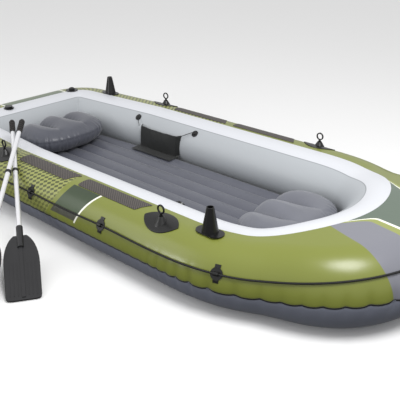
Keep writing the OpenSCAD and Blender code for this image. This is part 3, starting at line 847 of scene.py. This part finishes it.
@dataclass
class Hull:
    """The two air chambers, their welded bottom and the seam between them."""

    step: float = 6.5
    scallop: float = 5.0
    pucker: float = 8.5
    pucker_reach: float = 58.0
    seam_r: float = 4.2
    calm: float = 0.22
    lively: float = 0.88

    def _strength(self, x: float) -> float:
        """Returns the share of the full puckers at x: they are deepest round the bow."""
        return self.calm + self.lively * smooth_step((x - 450) / 500)

    def _seam(self, ring: Ring, k: int) -> float:
        """Finds the side seam with its scallops.

        Args:
            ring: the stations.
            k: the station.

        Returns:
            Its angle up the outer arc in degrees.
        """
        run = ring.along(k) * MM
        x = ring.x(k)
        wave = 0.55 - abs(math.sin(math.pi * (gather_phase(run) + 0.5)))
        wander = wave * self.scallop * self._strength(x)
        return HULL.seam_angle(x) + math.degrees(wander / HULL.tube(x))

    def _radius(self, ring: Ring, k: int, angle: float, seam: float) -> float:
        """Finds the skin's radius, drawn in and puckered near the seam.

        Args:
            ring: the stations.
            k: the station.
            angle: the place up the outer arc in degrees.
            seam: the seam's angle there.

        Returns:
            The radius in millimetres.
        """
        x = ring.x(k)
        r = HULL.tube(x)
        away = abs(math.radians(angle - seam)) * r
        near = math.exp(-(away / self.pucker_reach) ** 2)
        run = ring.along(k) * MM
        return r + near * self._strength(x) * (self.pucker * gathers(run) - 1.2) \
            - 1.6 * math.exp(-(away / 5.0) ** 2)

    def outer(self, ring: Ring) -> Piece:
        """Builds the printed outer skin from the colour line down to the side seam.

        Args:
            ring: the stations.

        Returns:
            The piece.
        """

        def profile(k: int) -> Section:
            """Draws the closed section at a station.

            Args:
                k: the station.

            Returns:
                Points of w, z and q in millimetres.
            """
            x = ring.x(k)
            r, g, seam = HULL.tube(x), HULL.outer(x), self._seam(ring, k)
            points = [(g * i / 4 + 0.2 * (1 - i / 4), 2 * r, g * i / 4) for i in range(4)]
            steps = [90 - (90 - seam - 14) * i / 19 for i in range(20)]
            steps += [seam + 14 - 14 * (i / 8) ** 0.8 for i in range(1, 9)]
            for a in steps:
                rad, t = self._radius(ring, k, a, seam), math.radians(a)
                points.append((g + rad * math.cos(t), r + rad * math.sin(t),
                               g + r * (math.pi / 2 - t)))
            for i in range(5):
                a = math.radians(seam - (seam + 90) * i / 4)
                rad = r - 5
                points.append((g + rad * math.cos(a), r + rad * math.sin(a), 0.45))
            points.append((0.2, 5.0, 0.45))
            return points

        skin = ring_shell("outer_skin", ring, profile)
        shade(skin, 50)
        return finish_piece(skin, "hull", "green_vinyl", dressed(Finish.OLIVE), ["outer_chamber"])

    def inner(self, ring: Ring) -> Piece:
        """Builds the pale inner skin with the shallow weld between its band and its wall.

        Args:
            ring: the stations.

        Returns:
            The piece.
        """

        def profile(k: int) -> Section:
            """Draws the closed section at a station.

            Args:
                k: the station.

            Returns:
                Points of w, z and q in millimetres.
            """
            x = ring.x(k)
            r, c = HULL.tube(x), HULL.inner(x)
            run = ring.along(k) * MM
            points = [(-0.2 + c * i / 3, 2 * r, c * i / 3) for i in range(3)]
            for i in range(34):
                t = math.pi * 0.97 * i / 33
                arc = r * t
                off = math.exp(-((arc - (120 + c)) / 5) ** 2)
                rad = r - 1.2 * off + 0.25 * math.sin(run / 0.05) * math.exp(
                    -((arc - (120 + c)) / 30) ** 2)
                points.append((c - rad * math.sin(t), r + rad * math.cos(t), c - arc))
            points += [(c, 3.0, -0.45), (-0.2, 3.0, -0.45)]
            return points

        skin = ring_shell("inner_skin", ring, profile)
        shade(skin, 50)
        return finish_piece(skin, "hull", "grey_vinyl", dressed(Finish.PALE), ["inner_chamber"])

    def bottom(self, ring: Ring) -> Piece:
        """Builds the slate bottom: the lower wrap from the seam down, and the flat sheet.

        Args:
            ring: the stations.

        Returns:
            The piece.
        """

        def profile(k: int) -> Section:
            """Draws the closed section at a station.

            Args:
                k: the station.

            Returns:
                Points of w, z and q in millimetres.
            """
            x = ring.x(k)
            r, g, seam = HULL.tube(x), HULL.outer(x), self._seam(ring, k)
            points = []
            for i in range(18):
                a = seam - (seam + 90) * (i / 17) ** 1.25
                rad, t = self._radius(ring, k, a, seam) - 0.4, math.radians(a)
                points.append((g + rad * math.cos(t), max(r + rad * math.sin(t), 0.4), 0.0))
            points += [(-70.0, 0.4, 0.0), (-70.0, 1.9, 0.0)]
            for i in range(5):
                a = math.radians(-90 + (seam + 90) * i / 4)
                points.append((g + (r - 4) * math.cos(a), r + (r - 4) * math.sin(a), 0.0))
            return points

        skin = ring_shell("bottom_wrap", ring, profile)
        shade(skin, 50)
        return finish_piece(skin, "hull", "slate_vinyl", dressed(Finish.SLATE), ["bottom_skirt"])

    def seam(self, ring: Ring) -> Piece:
        """Builds the black welt that runs along the side seam.

        Args:
            ring: the stations.

        Returns:
            The piece.
        """

        def profile(k: int) -> Section:
            """Draws the round section at a station.

            Args:
                k: the station.

            Returns:
                Points of w, z and q in millimetres.
            """
            x = ring.x(k)
            a = self._seam(ring, k)
            rad, t = self._radius(ring, k, a, a) + 0.4, math.radians(a)
            w, z = HULL.outer(x) + rad * math.cos(t), HULL.tube(x) + rad * math.sin(t)
            return [(w + 2.0 * math.cos(i * math.pi / 4), z + self.seam_r * math.sin(
                i * math.pi / 4), i * 2.7) for i in range(8)]

        welt = ring_shell("side_welt", ring, profile)
        shade(welt, 60)
        return finish_piece(welt, "hull", "black_rubber", dressed(Finish.RUBBER))

    def build(self) -> None:
        """Builds the hull's skins."""
        ring = HULL.ring(self.step)
        LOG.info("colour line %.1f mm over %d stations", ring.lengths[-1], ring.count)
        self.outer(ring)
        self.inner(HULL.ring(14))
        self.bottom(ring)
        self.seam(ring)


@dataclass
class GrabLine:
    """The rope round the boat, held by ten saddles and hanging a little between them."""

    off: float = 9.0
    rope_r: float = 4.7
    sag: float = 5.0
    held_at: tuple[float, ...] = (236, 1013, 1582, 2150, 2810)

    def build(self) -> Piece:
        """Builds the rope.

        Returns:
            The piece.
        """
        ring = HULL.ring(14)
        half = ring.lengths[-1]
        stops = [-self.held_at[0], *self.held_at, 2 * half - self.held_at[-1]]

        def profile(k: int) -> Section:
            """Draws the round section at a station.

            Args:
                k: the station.

            Returns:
                Points of w, z and q in millimetres.
            """
            x = ring.x(k)
            run = half - abs(ring.along(k) - half)
            low = 0.0
            for a, b in zip(stops[:-1], stops[1:]):
                if a <= run <= b:
                    low = math.sin(math.pi * (run - a) / (b - a)) ** 2
            t = math.radians(HULL.rope_angle(x))
            rad = HULL.tube(x) + self.off - 2.6 * low
            t -= low * self.sag / rad
            w, z = HULL.outer(x) + rad * math.cos(t), HULL.tube(x) + rad * math.sin(t)
            return [(w + self.rope_r * math.cos(i * math.pi / 4), z + self.rope_r * math.sin(
                i * math.pi / 4), i * math.pi / 4 * self.rope_r) for i in range(8)]

        rope = ring_shell("grab_rope", ring, profile)
        shade(rope, 60)
        return finish_piece(rope, "hull", "black_rope", dressed(Finish.ROPE), ["grab_line"])


@dataclass
class Floor:
    """The inflatable floor: seven lengthwise lobes welded in the valleys between them."""

    crest: float = 110.0
    lobes: int = 7
    depth: float = 16.0
    edge_r: float = 34.0
    wall_gap: float = 199.0
    under_z: float = 2.8

    def _half_width(self) -> tuple[np.ndarray, np.ndarray]:
        """Measures the inner wall's outline.

        Returns:
            Its x and its half width, both in millimetres.
        """
        ring = HULL.ring(10)
        xs, ys = [], []
        for k in range(len(ring.half)):
            x = ring.x(k)
            w = HULL.inner(x) - HULL.tube(x) - 1.6
            p = ring.at(k, w, 0)
            if xs and p[0] * 1000 <= xs[-1] + 0.5:
                continue
            xs.append(p[0] * 1000)
            ys.append(max(p[1] * 1000, 0))
        return np.array(xs), np.array(ys)

    def build(self) -> Piece:
        """Builds the floor inside the outline of the inner wall.

        Returns:
            The piece.
        """
        xs, ys = self._half_width()
        x_end = float(xs[-1])
        stern = HULL.stern_x + 200.6
        reach = HULL.half_beam - self.wall_gap
        pitch = 2 * reach / self.lobes
        bow = (pitch * pitch / 4 + self.depth ** 2) / (2 * self.depth)
        columns, top, under = 190, 112, 4

        def place(c: int, r: int) -> Vec:
            """Places a point of the slab.

            Args:
                c: the column.
                r: the row.

            Returns:
                Its place in metres.
            """
            k = min(max((c - 1) / (columns - 2), 0), 1)
            x = stern + (x_end - stern) * k
            limit = float(np.interp(x, xs, ys))
            if x < stern + 60:
                limit = min(limit, float(np.interp(stern + 60, xs, ys)))
            if r <= top:
                y = -reach + 2 * reach * r / top
                clipped = min(max(y, -limit), limit)
                near = (clipped + reach) % pitch - pitch / 2
                z = self.crest - bow + math.sqrt(max(bow * bow - near * near, 0))
                inside = min(limit - abs(clipped), x - stern, (x_end - x) * 0.7)
                if inside < self.edge_r:
                    lost = self.edge_r - math.sqrt(max(
                        self.edge_r ** 2 - (self.edge_r - inside) ** 2, 0))
                    z -= lost
                y = clipped
            else:
                k2 = (r - top) / under
                y, z = limit * (1 - 2 * k2), self.under_z
            if c in (0, columns):
                z = self.under_z
            return (x * MM, y * MM, z * MM)

        pad = shaped_grid("floor_skin", columns, top + under, place)
        tidy_shell(pad, 0.0002)
        shade(pad, 50)
        return finish_piece(pad, "hull", "slate_vinyl", dressed(Finish.FLOOR),
                            ["floor_chamber", "bottom_sheet"])


@dataclass
class SeatCushion:
    """A padded seat: straight at the back, round in front, with two sewn valleys.

    The valleys start deep at the back edge and die out before the front, where the skin is
    gathered in small upright pleats. All sizes are in millimetres.
    """

    name: str
    body: str
    node: str
    finish: Finish
    slot: str
    low: Vec
    high: Vec
    valley: float = 78.0
    cap: float = 8.0

    def _outline(self, a: float) -> tuple[float, float]:
        """Draws the plan outline.

        Args:
            a: the angle round it.

        Returns:
            The point's x and y about the middle.
        """
        half_x = (self.high[0] - self.low[0]) / 2 - self.cap
        half_y = (self.high[1] - self.low[1]) / 2 - self.cap
        ca, sa = math.cos(a), math.sin(a)
        power = 0.62 if ca < 0 else 0.86
        x = half_x * math.copysign(abs(ca) ** power, ca)
        y = half_y * math.copysign(abs(sa) ** (0.62 if ca < 0 else 0.74), sa)
        if ca < 0:
            x += 13 * math.exp(-((abs(y) - half_y / 3) / 26) ** 2)
        return x, y

    def _shape(self) -> Piece:
        """Builds the closed pillow that is then blown up.

        Returns:
            The pillow, remeshed to even cells for the cloth.
        """
        cx = (self.low[0] + self.high[0]) / 2
        mid_z = (self.low[2] + self.high[2]) / 2
        half_z = (self.high[2] - self.low[2]) / 2 - 7
        half_x = (self.high[0] - self.low[0]) / 2 - self.cap
        third = ((self.high[1] - self.low[1]) / 2 - self.cap) / 3

        def place(c: int, r: int) -> Vec:
            """Places a point of the pillow.

            Args:
                c: the step round the outline.
                r: the step from the lower pole to the upper.

            Returns:
                Its place in metres.
            """
            ox, oy = self._outline(2 * math.pi * c / 144)
            t = -math.pi / 2 + math.pi * r / 72
            reach = math.cos(t) ** 0.72 if 0 < r < 72 else 0.0
            x, y = ox * reach, oy * reach
            z = half_z * math.copysign(abs(math.sin(t)) ** 0.72, math.sin(t))
            if z > 0:
                k = smooth_step((0.80 - x / half_x) / 1.35)
                crown = 1 - 0.42 * max((x / half_x + 0.45) / 1.45, 0) ** 1.7
                cut = self.valley * k * math.exp(-(max(abs(abs(y) - third) - 1, 0) / 38))
                z = z * crown - cut * (z / half_z) ** 0.6
            return ((cx + x) * MM, y * MM, (mid_z + z) * MM)

        pad = shaped_grid(self.name, 144, 72, place)
        tidy_shell(pad, 0.0003)
        remesh = pad.modifiers.new("skin", "REMESH")
        remesh.mode = "VOXEL"
        remesh.voxel_size = 0.006
        apply_modifiers(pad)
        return pad

    def _inflate(self, pad: Piece) -> None:
        """Blows the pad up with cloth under pressure and limits how far it may swell.

        Args:
            pad: the pillow, which is changed.
        """
        scene = bpy.context.scene
        scene.gravity = (0, 0, 0)
        start = np.empty(len(pad.data.vertices) * 3)
        pad.data.vertices.foreach_get("co", start)
        cloth = pad.modifiers.new("air", "CLOTH")
        cloth.settings.quality = 4
        cloth.settings.use_pressure = True
        cloth.settings.uniform_pressure_force = 4
        cloth.settings.effector_weights.gravity = 0
        cloth.settings.tension_stiffness = 20
        cloth.settings.compression_stiffness = 12
        cloth.settings.bending_stiffness = 0.4
        cloth.point_cache.frame_start, cloth.point_cache.frame_end = 1, 20
        for frame_number in range(1, 21):
            scene.frame_set(frame_number)
        apply_modifiers(pad)
        scene.frame_set(1)
        now = np.empty_like(start)
        pad.data.vertices.foreach_get("co", now)
        move = (now - start).reshape(-1, 3)
        size = np.linalg.norm(move, axis=1, keepdims=True)
        limit = self.cap * MM
        move *= np.minimum(1, limit / np.maximum(size, 1e-9))
        pad.data.vertices.foreach_set("co", (start.reshape(-1, 3) + move).ravel())
        pad.data.update()

    def _sew(self, pad: Piece) -> None:
        """Presses in the two seams and gathers the front and the sides.

        Args:
            pad: the swollen pillow, which is changed.
        """
        count = len(pad.data.vertices)
        flat, normals = np.empty(count * 3), np.empty(count * 3)
        pad.data.vertices.foreach_get("co", flat)
        pad.data.vertices.foreach_get("normal", normals)
        p, n = flat.reshape(-1, 3) * 1000, normals.reshape(-1, 3)
        cx = (self.low[0] + self.high[0]) / 2
        mid_z = (self.low[2] + self.high[2]) / 2
        half_x = (self.high[0] - self.low[0]) / 2
        half_y = (self.high[1] - self.low[1]) / 2
        ahead, aside = (p[:, 0] - cx) / half_x, np.abs(p[:, 1]) / half_y
        rim = np.clip((np.hypot(np.maximum(ahead, 0), aside) - 0.66) / 0.3, 0, 1)
        turn = np.arctan2(p[:, 1], p[:, 0] - cx + 150)
        pleat = np.sin(turn * 52 + np.sin(turn * 9)) + 0.6 * np.sin(turn * 83 + 1)
        waist = np.exp(-((p[:, 2] - mid_z) / 42) ** 2)
        shift = 2.6 * rim * waist * pleat * (ahead > -0.75)
        shift -= 2.5 * rim * np.exp(-((p[:, 2] - mid_z) / 5) ** 2)
        third = (half_y - self.cap) / 3
        fade = np.clip((0.62 - ahead) / 0.7, 0, 1)
        near = np.abs(np.abs(p[:, 1]) - third)
        upper = np.clip((p[:, 2] - mid_z) / 20, 0, 1)
        shift -= 6.0 * np.exp(-(near / 5.5) ** 2) * fade * upper
        shift += 1.0 * np.exp(-(near / 24.0) ** 2) * np.sin(p[:, 0] / 6.2) * fade * upper
        p = p + n * shift[:, None]
        for axis in (0, 1):
            p[:, axis] = np.clip(p[:, axis], self.low[axis] - 4, self.high[axis] + 4)
        p[:, 2] = np.clip(p[:, 2], self.low[2], self.high[2] + 8)
        pad.data.vertices.foreach_set("co", (p / 1000).ravel())
        pad.data.update()

    def build(self) -> Piece:
        """Builds the cushion.

        Returns:
            The piece.
        """
        pad = self._shape()
        self._inflate(pad)
        self._sew(pad)
        smooth = pad.modifiers.new("soft", "SMOOTH")
        smooth.factor, smooth.iterations = 0.35, 2
        layer = pad.modifiers.new("fine", "SUBSURF")
        layer.levels = layer.render_levels = 1
        apply_modifiers(pad)
        tidy_shell(pad, 0.00001)
        shade(pad, 80)
        finish_piece(pad, self.body, self.slot, dressed(self.finish), [self.node])
        return pad


@dataclass
class BatteryPouch:
    """The open fabric pouch on the port wall: a sagging front, two cheeks and a floor flap."""

    x0: float = -650.0
    x1: float = -290.0
    flap_y: float = 262.0
    foot: tuple[float, float] = (333.0, 112.8)
    mouth: tuple[float, float] = (345.0, 255.0)
    flap_rows: int = 8

    def build(self) -> Piece:
        """Builds the pouch as one thick sheet.

        Returns:
            The piece.
        """
        columns, rows = 44, 26
        wall_y, wall_r = HULL.half_beam - 35, HULL.height / 2

        def place(c: int, r: int) -> Vec:
            """Places a point of the sheet.

            Args:
                c: the column.
                r: the row.

            Returns:
                Its place in metres.
            """
            s = c / columns
            x = self.x0 + (self.x1 - self.x0) * s
            if r <= self.flap_rows:
                k = r / self.flap_rows
                y = self.flap_y + (self.foot[0] - self.flap_y) * k
                z = self.foot[1] + 0.6 + 0.8 * math.sin(x / 31) * (1 - k)
                return (x * MM, y * MM, z * MM)
            k = (r - self.flap_rows) / (rows - self.flap_rows)
            y = self.foot[0] + (self.mouth[0] - self.foot[0]) * k
            z = self.foot[1] + (self.mouth[1] - self.foot[1]) * k
            belly = math.sin(math.pi * k) * math.sin(math.pi * s)
            y -= 9 * belly + 1.6 * math.sin(x / 17 + 2 * k) * k
            z -= 7 * math.sin(math.pi * s) * k
            end = max(abs(s - 0.5) - 0.46, 0) / 0.04
            if end > 0:
                high = min(max(z, 1), 2 * wall_r - 1)
                wall = wall_y - math.sqrt(max(wall_r ** 2 - (high - wall_r) ** 2, 0)) - 2.0
                y += (wall - y) * min(end, 1.0) ** 0.8 if wall > y else 0
            return (x * MM, y * MM, z * MM)

        sheet = shaped_grid("pouch_fabric", columns, rows, place)
        take(sheet)
        wall = sheet.modifiers.new("cloth", "SOLIDIFY")
        wall.thickness, wall.offset = 0.0018, 0
        layer = sheet.modifiers.new("fine", "SUBSURF")
        layer.levels = layer.render_levels = 1
        apply_modifiers(sheet)
        tidy_shell(sheet, 0.00001)
        shade(sheet, 50)
        return finish_piece(sheet, "hull", "black_fabric", dressed(Finish.POUCH),
                            ["battery_pouch"])


@dataclass
class Studio:
    """Pale floor, soft light and the camera."""

    camera_at: Vec = (2.434, -2.461, 1.648)
    camera_turn: Vec = (64.8, 0.0, 42.1)
    lens: float = 58.23
    above: float = 0.78
    below: float = 0.14
    lamps: tuple[tuple[str, Vec, float, float], ...] = (
        ("key_light", (2.3, -0.9, 3.6), 1.8, 108), ("fill_light", (-3.0, -4.2, 3.2), 3.5, 38),
        ("rake_light", (-1.6, -4.4, 1.1), 1.0, 30))

    def _area(self, name: str, at: Vec, size: float, power: float) -> None:
        """Adds an area light that faces the boat.

        Args:
            name: its name.
            at: where it hangs.
            size: its width in metres.
            power: its power in watts.
        """
        deselect()
        bpy.ops.object.light_add(type="AREA", location=at)
        lamp = bpy.context.object
        lamp.name = name
        lamp.data.shape = "DISK"
        lamp.data.size, lamp.data.energy = size, power
        aim = np.array([0.1, 0.0, 0.2]) - np.array(at)
        flat = math.hypot(aim[0], aim[1])
        lamp.rotation_euler = (math.atan2(flat, -aim[2]), 0, math.atan2(-aim[0], aim[1]))

    def build(self) -> None:
        """Sets the stage."""
        deselect()
        bpy.ops.mesh.primitive_plane_add(size=40, location=(0, 0, 0))
        ground = bpy.context.object
        ground.name = "studio_floor"
        board = Graph(bpy.data.materials.new("matt_white_board"))
        ground.data.materials.append(board.finish(Base_Color="F2F2F2", Roughness=0.85))
        ground.visible_diffuse = False
        ground.visible_glossy = False
        for lamp in self.lamps:
            self._area(*lamp)
        air = Graph(bpy.data.worlds.new("studio_air"))
        up = air.add("SeparateXYZ", air.add("TexCoord", out="Generated"), out=2)
        glow = air.add("MapRange", up, -0.12, 0.12, self.below, self.above)
        air.add("OutputWorld", air.add("Background", (1, 1, 1, 1), glow))
        bpy.context.scene.world = air.owner
        bpy.context.scene.view_settings.view_transform = "Standard"
        deselect()
        bpy.ops.object.camera_add(
            location=self.camera_at, rotation=[math.radians(a) for a in self.camera_turn])
        camera = bpy.context.object
        camera.name = "studio_camera"
        camera.data.lens, camera.data.sensor_width = self.lens, 36
        bpy.context.scene.camera = camera


@dataclass
class Fittings:
    """The moulded and metal parts, which keep the frame's own shape."""

    finishes: tuple[tuple[str, Finish], ...] = (
        ("grip_strips", Finish.STRIP), ("rope_holders", Finish.RUBBER),
        ("oarlock_base", Finish.RUBBER), ("oarlock_ring", Finish.PLASTIC),
        ("rod_holder", Finish.PLASTIC), ("motor_mount", Finish.RUBBER),
        ("valve", Finish.PLASTIC), ("pouch_cords", Finish.POUCH),
        ("pouch_eyelets", Finish.PLASTIC), ("blade", Finish.BLADE),
        ("shaft", Finish.SHAFT), ("_grip", Finish.GRIP), ("collar", Finish.RUBBER),
        ("button", Finish.STEEL), ("bottom_sheet", Finish.SLATE))

    def build(self) -> None:
        """Gives every CAD node its finish."""
        for name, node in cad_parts.items():
            for word, finish in self.finishes:
                if word in name:
                    material = dressed(finish)
                    for place in node.material_slots:
                        place.material = material
                    if not node.material_slots:
                        node.data.materials.append(material)
                    break
            LOG.info("%s keeps its shape", name)


def main() -> None:
    """Builds the boat in order."""
    logging.basicConfig(level=logging.INFO, format="%(name)s: %(message)s")
    Studio().build()
    Fittings().build()
    Hull().build()
    Floor().build()
    GrabLine().build()
    SeatCushion("stern_pad", "stern_cushion", "stern_cushion", Finish.STERN_PAD, "cushion_grey",
                (-1245, -300, 111), (-845, 300, 303), valley=90).build()
    SeatCushion("bow_pad", "bow_cushion", "bow_cushion", Finish.BOW_PAD, "cushion_light_grey",
                (620, -295, 111), (1025, 295, 256)).build()
    BatteryPouch().build()


if __name__ == "__main__":
    main()
